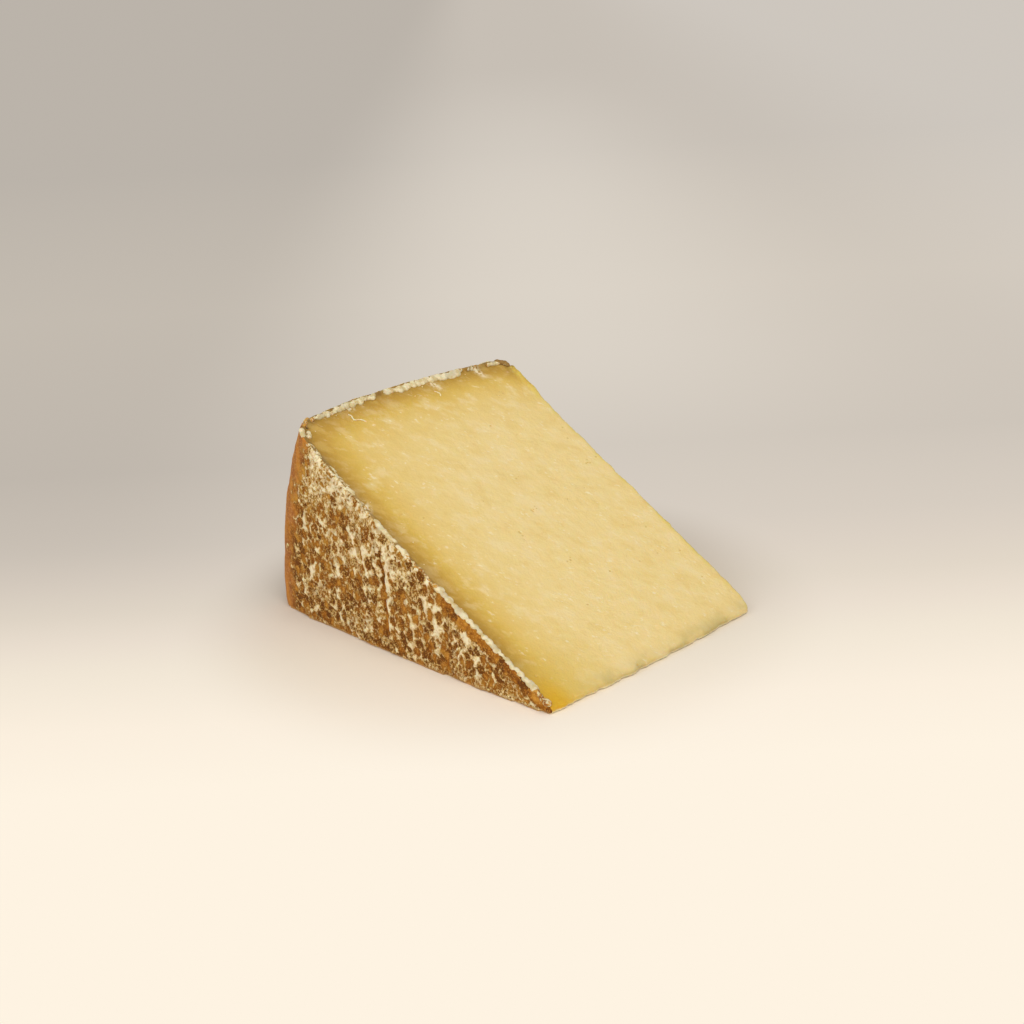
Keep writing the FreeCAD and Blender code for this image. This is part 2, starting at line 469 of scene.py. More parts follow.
def cut_relief(points, normals):
    """How far the knife left each point of the cut faces out of their planes."""
    relief = 0.22 * MM * lumps(points, 40 * MM, 2) + 0.05 * MM * lumps(points, 3 * MM)
    ragged_end = 0.8 * MM * lumps(points, 13 * MM, 2) + 0.5 * MM * lumps(points, 5 * MM)
    ragged_end += 1.6 * MM * smooth_step(80 * MM, 94 * MM, points[:, 2])
    return relief + np.clip(normals[:, 1], 0, 1) * ragged_end


def rim_rise(points, height, along, inward):
    """How far the rind's edge stands above the upper cut face."""
    ridge = 1 - smooth_step(1.6 * MM, 3.1 * MM, inward + 0.5 * MM * lumps(points, 3 * MM, 2))
    ridge *= smooth_step(-1.4 * MM, 0, height)
    ridge *= smooth_step(2 * MM, 10 * MM, along)
    ridge *= 1 - smooth_step(rim.length - 18 * MM, rim.length - 3 * MM, along)
    top = 1 - smooth_step(130 * MM, 150 * MM, along)
    return ridge * MM * (0.75 + 0.4 * top + 0.3 * lumps(points, 5 * MM, 2))


def smear_share(along, inward):
    """Where mould was drawn over the paste, from 0 to 1."""
    share = np.zeros(len(along))
    for start, reach, width in SMEARS:
        across = bell(along - start + 0.3 * inward, width)
        share = np.maximum(share, across * (1 - smooth_step(0.4 * reach, reach, inward)))
    return share


def crack_share(along, inward):
    """The crack through the rim at the cut corner, from 0 to 1."""
    across = bell(along - CRACK + 0.2 * inward, CRACK_WIDTH)
    return across * (1 - smooth_step(3 * MM, 5 * MM, np.abs(inward)))


def edge_share(points, height):
    """Where the upper cut face meets the plain cut end, from 0 to 1."""
    far = np.hypot(wedge.high[1] - points[:, 1], height)
    return 1 - smooth_step(0.8 * MM, 4.5 * MM, far)


def thin_edge_shift(points):
    """How far the thin edge moves in X and Y: it bows out, with nicks, and has a chipped corner."""
    thin = 1 - smooth_step(4 * MM, 26 * MM, points[:, 2])
    bow = np.cos(math.pi * points[:, 1] / (wedge.high[1] - wedge.low[1]))
    shift = np.zeros((len(points), 2))
    shift[:, 0] = EDGE_BOW * thin * bow * smooth_step(40 * MM, 95 * MM, points[:, 0])
    lip = 1 - smooth_step(2 * MM, 7 * MM, points[:, 2])
    lip *= smooth_step(80 * MM, 94 * MM, points[:, 0])
    lip *= smooth_step(4 * MM, 14 * MM, points[:, 1] - wedge.low[1])
    nicks = 0.9 * MM * lumps(points + 5, 12 * MM, 2) + 0.7 * MM * lumps(points + 6, 4 * MM, 2)
    shift[:, 0] += lip * nicks
    corner = np.hypot(points[:, 0] - wedge.high[0], points[:, 1] - wedge.high[1])
    shift[:, 1] = -CHIP_DEPTH * bell(corner, CHIP_WIDTH)
    return shift


def worn_share(points):
    """Where handling wore the mould off the drum's shoulder, from 0 to 1."""
    radius = np.hypot(points[:, 0] - wedge.axis_x, points[:, 2])
    wander = 6 * MM * lumps(points, 15 * MM, 3) + 2 * MM * lumps(points, 3 * MM, 2)
    strip = smooth_step(-8 * MM, 14 * MM, radius + wander - (radius.max() - BARE_STRIP))
    far = points[:, 1] + wander - wedge.low[1]
    return strip * (1 - smooth_step(SHOULDER - 9 * MM, SHOULDER + 12 * MM, far))


def refine_zones(mesh, pits):
    """Finer squares over the rind, along the rim and round the pits."""
    for pit_reach, rim_reach, whole_rind in ((2.2 * MM, 9 * MM, True), (1.3 * MM, 4 * MM, False)):
        centres = rows(mesh.polygons, "center")
        depth = wedge.rind_depth(centres)
        shown = centres[:, 2] > 0.5 * MM
        wanted = pits.nearest(centres)[1] < pit_reach
        wanted |= whole_rind & shown & (depth < 1.2 * MM)
        wanted |= shown & (depth < rim_reach) & (np.abs(wedge.height(centres)) < rim_reach)
        refine(mesh, wanted)


def rim_looks(points, height):
    """The rim's rise, and the shares of smeared mould and of the crack, at each point."""
    near = np.flatnonzero(height > -RIM_REACH)
    along, inward = rim.locate(points[near])
    looks = np.zeros((3, len(points)))
    looks[0, near] = rim_rise(points[near], height[near], along, inward)
    looks[1, near] = smear_share(along, inward)
    looks[2, near] = crack_share(along, inward)
    return looks


def mould_layer(points, mould, covered, change):
    """How thickly mould lies at each point, in mm, after that change, and the tone of its cell."""
    thickness, tone = np.full(len(points), BARE), np.zeros(len(points))
    thickness[covered], tone[covered] = mould.measure(points[covered])
    thickness += change
    height = wedge.height(points) + 1.2 * MM * lumps(points, 6 * MM, 2)
    under_rim = smooth_step(-5 * MM, -3 * MM, height)
    return thickness - 1.6 * under_rim * smooth_step(30 * MM, 45 * MM, points[:, 0]), tone


def body_mesh(rng):
    """The wedge's skin: uneven rind, waved cut faces, pits and the rind's edge round them."""
    mesh = even_mesh(flattened(), VOXEL)
    points = vertex_array(mesh)
    depth = wedge.rind_depth(points)
    mould = Mould(rng, points[depth < 1 * MM])
    sound = (depth > 5 * MM) & (points[:, 2] > 2 * MM)
    pits = Pits(rng, points[sound])
    refine_zones(mesh, pits)

    points = vertex_array(mesh)
    normals = rows(mesh.vertex_normals, "vector")
    height = wedge.height(points)
    skin = 1 - smooth_step(0.3 * MM, 1.2 * MM, wedge.rind_depth(points))
    hollow, sunk = pits.hollow(points)
    rise, smear, crack = rim_looks(points, height)
    worn = worn_share(points)
    folds, streaks = creases(points)
    change = 1.3 * streaks - 1.2 * smooth_step(0.2 * MM, 0.8 * MM, folds) - 1.1 * worn - 3 * crack
    thickness, tone = mould_layer(points, mould, np.flatnonzero(skin > 0), change)
    looks = {
        "ripening": wedge.ripening_depth(points),
        "skin": skin,
        "pit": hollow,
        "smear": smear,
        "crack": crack,
        "edge": edge_share(points, height),
        "worn": worn,
        "mould": thickness,
        "tone": tone,
    }
    for name, values in looks.items():
        store(mesh, name, values)

    out = skin * rind_relief(points, thickness, folds) + (1 - skin) * cut_relief(points, normals)
    out -= sunk + 0.8 * MM * crack
    moved = points + normals * out[:, None] + rise[:, None] * wedge.up
    moved[:, :2] += thin_edge_shift(points)
    moved[:, 2] = np.where(points[:, 2] < UNDERSIDE, 0, np.maximum(moved[:, 2], 0))
    move_vertices(mesh, moved)
    return mesh


# ---- the crust along the rim

CRUST_VOXEL = 0.35 * MM
CRUST_ROUGHNESS = 0.13 * MM
# how far the lumps lie aslant to the rim, in radians, and how much that varies
SLANT = 0.3
SLANT_SPREAD = 0.25
# a lump's greatest half height in mm, before its size varies
MOST_HIGH = 1.1
CRUST_RUNS = (
    # in mm: from, to, spacing, half length, half width, inset, scatter, height; and how brown
    (0.3, 8, 1.5, 1.8, 1.4, 1.2, 0.7, 0.45, 0.95),
    (8, 14, 2.0, 1.5, 1.0, 2.0, 0.4, 0.35, 0.1),
    (15, 25, 2.6, 1.4, 0.8, 1.6, 0.8, 0.3, 0.7),
    (25, 35, 2.2, 1.6, 0.9, 1.5, 0.7, 0.3, 0.25),
    (35, 85, 2.2, 2.3, 1.4, 1.9, 0.2, 0.35, 0.0),
    (36, 84, 3.0, 1.9, 1.5, 3.2, 0.9, 0.1, 0.0),
    (36, 46, 1.6, 2.2, 1.5, 4.0, 1.5, 0.1, 0.05),
    (92, 134, 2.2, 2.1, 1.2, 1.7, 0.2, 0.35, 0.0),
    (93, 131, 2.8, 1.7, 1.2, 2.8, 0.7, 0.1, 0.0),
    (134, 141, 1.7, 1.5, 1.2, 1.4, 0.8, 0.35, 0.7),
    (146, 152, 0.9, 1.4, 1.3, 2.8, 2.1, 0.3, 0.0),
    (157, 166, 2.4, 1.7, 0.9, 1.5, 0.7, 0.2, 0.3),
    (172, 190, 2.4, 2.4, 0.5, 0.5, 0.3, 0.5, 0.1),
    (174, 189, 2.4, 2.2, 0.5, 2.1, 0.3, 0.4, 0.2),
    (190, 194, 1.5, 1.5, 1.2, 1.6, 0.7, 0.4, 0.05),
    (197, 209, 2.6, 1.6, 0.8, 2.2, 1.4, 0.2, 0.4),
    (213, 227, 2.6, 2.5, 1.1, 1.3, 0.4, 0.5, 0.1),
    (230, 236, 1.8, 2.0, 1.4, 1.6, 0.5, 0.5, 0.2),
    (237, 260, 1.9, 1.4, 0.9, 1.0, 0.8, 0.4, 0.6),
    (260, 298, 3.6, 2.4, 1.75, 1.7, 0.15, 0.75, 0.0),
    (298, 315, 2.6, 1.9, 1.3, 1.5, 0.6, 0.55, 0.1),
    (316, 327, 3.2, 2.4, 1.9, 1.7, 0.4, 0.6, 0.0),
    (327, 332, 2.2, 1.7, 1.1, 1.0, 0.5, 0.4, 0.7),
    (334, 336, 3.0, 2.6, 2.3, 0.6, 0.0, 1.0, 0.56),
)


class Lumps:
    """Rounded lumps that run together into one mesh, each with its own shade of brown."""

    def __init__(self):
        self.form = bmesh.new()
        self.middles = []
        self.browns = []

    def add(self, middle, axes, sizes, brown=0.0):
        """A lump with those half sizes along the three axes."""
        shape = Matrix(np.column_stack([a * s for a, s in zip(axes, sizes)]).tolist()).to_4x4()
        shape.translation = Vector(middle)
        bmesh.ops.create_icosphere(self.form, subdivisions=2, radius=1, matrix=shape)
        self.middles.append(middle)
        self.browns.append(brown)

    def mesh(self, name, voxel, roughness):
        """The lumps as one closed skin with a rough surface."""
        joined = bpy.data.meshes.new(name)
        self.form.to_mesh(joined)
        self.form.free()
        mesh = even_mesh(joined, voxel)
        points = vertex_array(mesh)
        out = roughness * (lumps(points, 2.4 * MM, 2) + 0.4 * lumps(points, 0.9 * MM, 1))
        move_vertices(mesh, points + rows(mesh.vertex_normals, "vector") * out[:, None])
        tree = tree_of(self.middles)
        store(mesh, "brown", [self.browns[tree.find(Vector(p))[1]] for p in points])
        return mesh


def crust_mesh(rng):
    """Dried mould along the rim: piped where the rind was cut clean, crumbly elsewhere."""
    crust = Lumps()
    for start, end, spacing, length, width, inset, scatter, height, brown in CRUST_RUNS:
        along = start
        while along < end:
            size = rng.uniform(0.8, 1.2)
            inward = inset + scatter * rng.uniform(-1, 1)
            index = rim.index(along * MM)
            turn = rng.normal(SLANT, SLANT_SPREAD)
            forward, inwards = rim.tangents[index], rim.inwards[index]
            axes = (
                forward * math.cos(turn) + inwards * math.sin(turn),
                inwards * math.cos(turn) - forward * math.sin(turn),
                rim.up,
            )
            sizes = np.array([length, width, min(width, MOST_HIGH)]) * MM * size
            middle = rim.place(along * MM, inward * MM, (height + 0.15 * rng.uniform(-1, 1)) * MM)
            crust.add(middle, axes, sizes, brown)
            along += spacing * rng.uniform(0.85, 1.15)
    return crust.mesh("crust", CRUST_VOXEL, CRUST_ROUGHNESS)


# ---- crumbs

CRUMB_VOXEL = 0.22 * MM
CRUMB_ROUGHNESS = 0.06 * MM
CRUMB_COUNT = 12
CURL_STEPS = 7
CURLS = (
    # each shaving's way over the paste: along the rim and inwards from it, in mm
    ((113.5, 7.5), (113.0, 9.5), (113.8, 12.0), (111.5, 12.6), (109.5, 13.6), (108.5, 15.5)),
    ((57.0, 11.0), (55.5, 13.0), (55.8, 15.0)),
)


def crumb_mesh(rng):
    """Shavings and crumbs that the knife left on the upper cut face."""
    crumbs = Lumps()
    axes = np.eye(3)
    for curl in CURLS:
        for (along, inward), (next_along, next_inward) in zip(curl, curl[1:]):
            for share in np.linspace(0, 1, CURL_STEPS):
                here = along + (next_along - along) * share
                inside = inward + (next_inward - inward) * share
                size = rng.uniform(0.28, 0.4) * MM
                middle = rim.place(here * MM, inside * MM, size * 0.7)
                crumbs.add(middle, axes, (size, size, size))
    for _ in range(CRUMB_COUNT):
        along = rng.uniform(20, 320) * MM
        size = rng.uniform(0.25, 0.5) * MM
        middle = rim.place(along, rng.uniform(3.5, 12) * MM, size * 0.4)
        crumbs.add(middle, axes, (size, size * rng.uniform(0.6, 1), size * 0.8))
    return crumbs.mesh("crumbs", CRUMB_VOXEL, CRUMB_ROUGHNESS)


# ---- node trees


def rgb(red, green, blue):
    """The linear colour of an sRGB colour written from 0 to 255."""
    parts = (c / 255 for c in (red, green, blue))
    linear = [c / 12.92 if c <= 0.04045 else ((c + 0.055) / 1.055) ** 2.4 for c in parts]
    return (*linear, 1.0)


class Nodes:
    """Adds nodes to a tree. What goes into one is a value or another node's socket."""

    # a Mix node's colours go by number, because its other inputs have the same names
    MIX_FIRST = 6
    MIX_SECOND = 7
    MIXED = 2

    def __init__(self, tree):
        self.tree = tree

    def add(self, kind, plugs, **settings):
        """A node of that kind with those inputs and settings."""
        node = self.tree.nodes.new("ShaderNode" + kind)
        for name, value in settings.items():
            setattr(node, name, value)
        for name, value in plugs.items():
            if isinstance(value, bpy.types.NodeSocket):
                self.tree.links.new(value, node.inputs[name])
            else:
                node.inputs[name].default_value = value
        return node

    def math(self, operation, first, second=0.0, third=0.0):
        """The outcome of an operation on up to three numbers."""
        plugs = {0: first, 1: second, 2: third}
        return self.add("Math", plugs, operation=operation).outputs[0]

    def times(self, first, second):
        """The product of two numbers."""
        return self.math("MULTIPLY", first, second)

    def plus(self, *terms):
        """The sum of pairs of a value and its weight."""
        total = 0.0
        for value, weight in terms:
            total = self.math("MULTIPLY_ADD", value, weight, total)
        return total

    def step(self, value, low, high, start=0.0, end=1.0):
        """A smooth change from start to end while the value goes from low to high."""
        plugs = {"Value": value, "From Min": low, "From Max": high, "To Min": start, "To Max": end}
        return self.add("MapRange", plugs, interpolation_type="SMOOTHSTEP").outputs[0]

    def vector(self, operation, first, second):
        """The outcome of an operation on two vectors."""
        return self.add("VectorMath", {0: first, 1: second}, operation=operation).outputs[0]

    def noise(self, place, size, detail=3.0, roughness=0.5):
        """Cloudy noise round 0.5, with swells of that size."""
        plugs = {"Vector": place, "Scale": 1 / size, "Detail": detail, "Roughness": roughness}
        return self.add("TexNoise", plugs).outputs[0]

    def bent(self, place, size, reach):
        """The place, moved about by noise of that size."""
        plugs = {"Vector": place, "Scale": 1 / size, "Detail": 2.0}
        colour = self.add("TexNoise", plugs).outputs[1]
        around = self.vector("SUBTRACT", colour, (0.5, 0.5, 0.5))
        return self.vector("ADD", place, self.vector("MULTIPLY", around, (reach, reach, reach)))

    def drawn_out(self, place, along, share):
        """The place, nearer by that share along a direction, so that noise is drawn out that way."""
        dot = self.add("VectorMath", {0: place, 1: along}, operation="DOT_PRODUCT")
        plugs = {0: along, "Scale": self.times(dot.outputs["Value"], share)}
        back = self.add("VectorMath", plugs, operation="SCALE").outputs[0]
        return self.vector("SUBTRACT", place, back)

    def mix(self, share, first, second):
        """The first colour at share 0, and the second at share 1."""
        plugs = {0: share, self.MIX_FIRST: first, self.MIX_SECOND: second}
        return self.add("Mix", plugs, data_type="RGBA").outputs[self.MIXED]

    def tint(self, base, colour, value, low, high, most=1.0):
        """The base, with up to that much of the colour over it as the value goes from low to high."""
        return self.mix(self.step(value, low, high, 0.0, most), base, colour)

    def ramp(self, share, stops):
        """A colour that passes through the stops, each a position and a colour."""
        node = self.add("ValToRGB", {0: share})
        elements = node.color_ramp.elements
        while len(elements) < len(stops):
            elements.new(1.0)
        for element, (position, colour) in zip(elements, stops):
            element.position = position
            element.color = colour
        return node.outputs[0]

    def attribute(self, name):
        """The number that the mesh keeps by that name."""
        return self.add("Attribute", {}, attribute_name=name).outputs["Fac"]

    def place(self):
        """The point's place on the object, in metres."""
        return self.add("TexCoord", {}).outputs["Object"]

    def bump(self, height):
        """The surface's direction, tilted by a relief whose height is in metres."""
        return self.add("Bump", {"Height": height, "Distance": 1.0}).outputs[0]

    def join(self, value, shader, name):
        """Leads a socket into the shader's input of that name."""
        self.tree.links.new(value, shader.inputs[name])


def new_material(name):
    """A material, its nodes and its shader."""
    material = bpy.data.materials.new(name)
    material.use_nodes = True
    nodes = Nodes(material.node_tree)
    shader = material.node_tree.nodes["Principled BSDF"]
    return material, nodes, shader


# ---- materials

# the way the knife drew the curd out, turned from the cut's slope towards the plain cut end
DRAG_TURN = math.radians(36)
UNDER_RIND = (
    # depth below the rind in mm, and the paste's colour there
    (0, rgb(150, 112, 48)),
    (4, rgb(176, 136, 56)),
    (8, rgb(194, 153, 64)),
    (10, rgb(204, 164, 74)),
    (13, rgb(214, 177, 82)),
    (16, rgb(222, 187, 96)),
    (20, rgb(227, 194, 112)),
    (25, rgb(230, 200, 124)),
    (32, rgb(233, 205, 134)),
    (48, rgb(236, 210, 144)),
)
# the paste, its flecks and holes, painted glow at its edges and tip, and painted shade low on its
# thin edge
PASTE_PALE = rgb(240, 219, 170)
PASTE_DEEP = rgb(226, 192, 112)
FLECK = rgb(247, 234, 200)
EDGE_GLOW = rgb(223, 198, 94)
OLIVE_SHADE = rgb(176, 158, 96)
FRINGE_GLOW = rgb(247, 236, 196)
AMBER_GLOW = rgb(218, 170, 30)
HONEY = rgb(218, 188, 96)
PIT_SHADE = rgb(212, 176, 96)
CRACK_SHADE = rgb(48, 28, 12)
# the rind, from dark to light, its worn strip and its lowest edge
UMBER = rgb(106, 58, 2)
BROWN = rgb(148, 86, 12)
RUST = rgb(178, 116, 32)
GOLD = rgb(210, 154, 60)
ORANGE = rgb(198, 128, 46)
GRAIN = rgb(220, 164, 76)
PLUM = rgb(162, 98, 46)
PEACH = rgb(214, 154, 92)
TAN = rgb(204, 158, 98)
DUST = (
    # how thickly mould lies, and its colour there
    (0.0, rgb(200, 146, 60)),
    (0.12, rgb(220, 172, 90)),
    (0.32, rgb(236, 204, 138)),
    (0.8, rgb(248, 233, 195)),
)
# the mould in the crust and on the rind, and the crust's painted shade
MUSTY = rgb(136, 106, 56)
CREAM = rgb(237, 223, 183)
CRUST_SHADE = rgb(212, 190, 136)
GREY_MOULD = rgb(204, 194, 166)
MOULD_SHADE = rgb(196, 156, 92)


def mould_cover(nodes, place):
    """How thickly mould lies on the rind, in mm, with its grain; below 0 the rind is bare."""
    hanging = nodes.vector("MULTIPLY", place, (1.0, 1.0, 0.75))
    grain = nodes.noise(hanging, 1.1 * MM, 4.0, 0.75)
    speckle = nodes.noise(hanging, 0.6 * MM, 2.0)
    return nodes.plus((nodes.attribute("mould"), 1.1), (grain, 2.5), (speckle, 1.5), (1.0, -1.95))


def rind_colour(nodes, place, cover):
    """Brown and golden rind, with painted shade beside the threads of the mould that lies on it."""
    clouds = nodes.noise(place, 3.5 * MM, 3.0, 0.6)
    tone = nodes.plus((nodes.attribute("tone"), 0.5), (clouds, 1.0), (1.0, -0.25))
    base = nodes.ramp(tone, [(0.33, UMBER), (0.5, BROWN), (0.64, RUST), (0.84, GOLD)])
    mould = nodes.attribute("mould")
    # painted shade: umber laid on the rind beside the mould's threads
    base = nodes.tint(base, UMBER, mould, -1.3, -0.3, 0.35)
    base = nodes.tint(base, GRAIN, nodes.noise(place, 0.8 * MM), 0.53, 0.64, 0.6)

    bands = nodes.noise(nodes.vector("MULTIPLY", place, (2.0, 0.7, 0.6)), 8 * MM)
    handled = nodes.tint(ORANGE, PLUM, bands, 0.38, 0.62)
    rubbed = nodes.noise(place, 1.1 * MM, 4.0, 0.75)
    handled = nodes.tint(handled, PEACH, rubbed, 0.46, 0.62, 0.7)
    base = nodes.tint(base, handled, nodes.attribute("worn"), 0.1, 0.8, 0.9)

    dust = nodes.ramp(cover, DUST)
    dust = nodes.tint(dust, GREY_MOULD, nodes.noise(place, 6 * MM, 2.0), 0.52, 0.66, 0.3)
    dust = nodes.tint(dust, MOULD_SHADE, nodes.noise(place, 2.2 * MM), 0.5, 0.64, 0.6)
    return nodes.tint(base, dust, cover, -0.15, 0.2)


def paste_colour(nodes, place, ripening):
    """Pale paste with paler curds and flecks, ochre under the rind."""
    reach = UNDER_RIND[-1][0] * MM
    wander = nodes.noise(place, 12 * MM)
    share = nodes.times(ripening, nodes.plus((1.0, 0.75 / reach), (wander, 0.5 / reach)))
    colour = nodes.ramp(share, [(depth * MM / reach, shade) for depth, shade in UNDER_RIND])
    dank = nodes.step(nodes.noise(place, 16 * MM, 2.0), 0.42, 0.56, 0.1, 0.75)
    dank = nodes.times(nodes.step(ripening, 4.5 * MM, 1 * MM), dank)
    colour = nodes.mix(dank, colour, MUSTY)
    inside = nodes.step(ripening, 3 * MM, 18 * MM, 0.35, 1.0)
    drag = tuple(np.array([0, math.sin(DRAG_TURN), 0]) - wedge.away * math.cos(DRAG_TURN))
    cloud = nodes.bent(nodes.drawn_out(place, drag, 0.35), 9 * MM, 4 * MM)
    cloud = nodes.noise(cloud, 8 * MM, 4.0, 0.6)
    pale = nodes.times(nodes.step(cloud, 0.5, 0.68, 0.0, 0.45), inside)
    colour = nodes.mix(pale, colour, PASTE_PALE)
    colour = nodes.tint(colour, PASTE_DEEP, cloud, 0.5, 0.34, 0.35)
    curd = nodes.bent(nodes.drawn_out(place, drag, 0.5), 2 * MM, 1.2 * MM)
    curd = nodes.noise(curd, 1.3 * MM)
    groups = nodes.noise(place, 6 * MM)
    flecked = nodes.times(nodes.step(curd, 0.54, 0.72), nodes.step(groups, 0.48, 0.64))
    flecked = nodes.times(flecked, inside)
    return nodes.mix(nodes.times(flecked, 0.6), colour, FLECK)


def lower_paste(nodes, place, ripening, height, paste):
    """The paste low down: honey by the rind, amber with painted glow, and painted olive shade away
    from it.
    """
    thin = nodes.step(height, 16 * MM, 4 * MM)
    close = nodes.step(ripening, 18 * MM, 7 * MM, 0.0, 0.85)
    near = nodes.step(ripening, 50 * MM, 14 * MM, 0.0, 0.6)
    paste = nodes.mix(nodes.times(nodes.step(height, 24 * MM, 6 * MM), near), paste, HONEY)
    # painted olive shade and dark reflection where the thin edge curves down, away from the rind
    patchy = nodes.step(nodes.noise(place, 16 * MM), 0.42, 0.58, 0.3, 0.85)
    low = nodes.times(nodes.step(height, 8 * MM, 0.5 * MM), patchy)
    curved_shade = nodes.times(low, nodes.step(ripening, 12 * MM, 32 * MM))
    paste = nodes.mix(curved_shade, paste, OLIVE_SHADE)
    # amber by the rind at the thin tip: riper paste, with painted glow of light through it
    return nodes.mix(nodes.times(thin, close), paste, AMBER_GLOW)


def marked_paste(nodes, place, height, paste):
    """The paste with painted glow at its yellow edge and lowest fringe, its smears, and painted shade
    in torn pits.
    """
    # painted glow of light through the edge, in yellow patches
    glow_patches = nodes.step(nodes.noise(place, 14 * MM), 0.46, 0.6, 0.3, 0.8)
    paste = nodes.mix(nodes.times(nodes.attribute("edge"), glow_patches), paste, EDGE_GLOW)
    # painted glow along the paste's lowest fringe
    paste = nodes.tint(paste, FRINGE_GLOW, height, 2.0 * MM, 0.8 * MM, 0.9)
    streaks = nodes.step(nodes.noise(place, 1.6 * MM), 0.42, 0.56, 0.0, 0.85)
    paste = nodes.mix(nodes.times(nodes.attribute("smear"), streaks), paste, FLECK)
    return nodes.tint(paste, PIT_SHADE, nodes.attribute("pit"), 0.05, 0.6, 0.7)


def fine_relief(nodes, place, cover, is_rind):
    """How far the grain of the rind, or of the paste, stands out, in metres."""
    is_paste = nodes.math("SUBTRACT", 1.0, is_rind)
    grit = nodes.noise(place, 0.7 * MM)
    rind = nodes.plus((nodes.step(cover, -0.3, 0.6), 0.45 * MM), (grit, 0.35 * MM))
    crumb = nodes.noise(place, 0.9 * MM, 3.0, 0.6)
    swell = nodes.noise(place, 3.5 * MM, 2.0)
    paste = nodes.plus((crumb, 0.18 * MM), (swell, 0.4 * MM))
    return nodes.plus((nodes.times(rind, is_rind), 1.0), (nodes.times(paste, is_paste), 1.0))


def body_material():
    """Paste on the cut faces and mouldy rind round them, parted by a ragged line."""
    material, nodes, shader = new_material("cantal")
    place = nodes.place()
    ripening = nodes.attribute("ripening")
    height = nodes.add("SeparateXYZ", {0: place}).outputs["Z"]
    cover = mould_cover(nodes, place)
    rind = rind_colour(nodes, place, cover)
    rind = nodes.tint(rind, TAN, height, 1.6 * MM, 0.6 * MM, 0.7)
    paste = paste_colour(nodes, place, ripening)
    paste = lower_paste(nodes, place, ripening, height, paste)
    paste = marked_paste(nodes, place, height, paste)

    raggedness = nodes.noise(place, 1.2 * MM)
    skin = nodes.plus((nodes.attribute("skin"), 1.0), (raggedness, 0.7), (1.0, -0.35))
    is_rind = nodes.step(skin, 0.4, 0.6)
    colour = nodes.mix(is_rind, paste, rind)
    cracked = nodes.step(nodes.attribute("crack"), 0.2, 0.6, 0.0, 0.9)
    nodes.join(nodes.mix(cracked, colour, CRACK_SHADE), shader, "Base Color")
    uneven = nodes.noise(place, 2 * MM)
    nodes.join(nodes.plus((is_rind, 0.35), (uneven, 0.3), (1.0, 0.27)), shader, "Roughness")
    nodes.join(nodes.bump(fine_relief(nodes, place, cover, is_rind)), shader, "Normal")
    shader.inputs["Specular IOR Level"].default_value = 0.2
    shader.inputs["Subsurface Weight"].default_value = 0.3
    shader.inputs["Subsurface Radius"].default_value = (1.0, 0.6, 0.25)
    shader.inputs["Subsurface Scale"].default_value = 2.5 * MM
    return material


def crust_material():
    """Dry cream mould, with straw patches of painted shade laid by noise, and brown where the rind
    shows through.
    """
    material, nodes, shader = new_material("crust")
    place = nodes.place()
    tone = nodes.noise(place, 3.0 * MM)
    # painted shade: a straw copy of the cream, laid in patches by noise
    colour = nodes.tint(CREAM, CRUST_SHADE, tone, 0.4, 0.62)
    colour = nodes.tint(colour, GREY_MOULD, nodes.noise(place, 8 * MM, 2.0), 0.5, 0.68, 0.5)
    rind = nodes.tint(GOLD, BROWN, tone, 0.46, 0.6)
    rind = nodes.tint(rind, MUSTY, nodes.attribute("brown"), 0.65, 0.85, 0.8)
    specks = nodes.noise(place, 1.3 * MM)
    bare = nodes.plus((nodes.attribute("brown"), 0.42), (specks, 1.0), (1.0, -0.1))
    colour = nodes.tint(colour, rind, bare, 0.56, 0.68)
    nodes.join(colour, shader, "Base Color")
    grain = nodes.noise(place, 0.5 * MM)
    nodes.join(nodes.bump(nodes.plus((grain, 0.25 * MM), (specks, 0.3 * MM))), shader, "Normal")
    nodes.join(nodes.step(specks, 0.3, 0.7, 0.95, 0.75), shader, "Roughness")
    shader.inputs["Subsurface Weight"].default_value = 0.1
    shader.inputs["Subsurface Scale"].default_value = 0.8 * MM
    return material


def crumb_material():
    """Pale, moist shavings of paste."""
    material, nodes, shader = new_material("crumbs")
    tone = nodes.noise(nodes.place(), 2.0 * MM, 2.0)
    nodes.join(nodes.tint(FLECK, PASTE_PALE, tone, 0.35, 0.55), shader, "Base Color")
    nodes.join(nodes.step(tone, 0.3, 0.7, 0.35, 0.6), shader, "Roughness")
    shader.inputs["Subsurface Weight"].default_value = 0.3
    shader.inputs["Subsurface Scale"].default_value = 1.0 * MM
    return material


# ---- the stage

MIDDLE = (wedge.low + wedge.high) / 2
# the photograph's camera: its angles, its distance and aim in metres, and its lens in mm
CAMERA_AZIMUTH = math.radians(47.06)
CAMERA_ELEVATION = math.radians(20.75)
CAMERA_ROLL = math.radians(-3.39)
CAMERA_DISTANCE = 0.796
CAMERA_LENS = 56.25
CAMERA_AIM = Vector((0.0045, 0.0043, -0.0015))


def direction(azimuth, elevation):
    """The unit vector from the part that way."""
    flat = math.cos(elevation)
    return Vector((math.sin(azimuth) * flat, -math.cos(azimuth) * flat, math.sin(elevation)))


def make_camera():
    """The camera, at the photograph's viewing angle."""
    camera = bpy.data.cameras.new("camera")
    camera.lens = CAMERA_LENS
    camera.clip_start = 0.01
    back = direction(CAMERA_AZIMUTH, CAMERA_ELEVATION)
    obj = new_object("camera", camera)
    turn = (-back).to_track_quat("-Z", "Y").to_matrix().to_4x4()
    aim = MIDDLE + CAMERA_AIM
    turn = turn @ Matrix.Rotation(CAMERA_ROLL, 4, "Z")
    obj.matrix_world = Matrix.Translation(aim + back * CAMERA_DISTANCE) @ turn
    bpy.context.scene.camera = obj


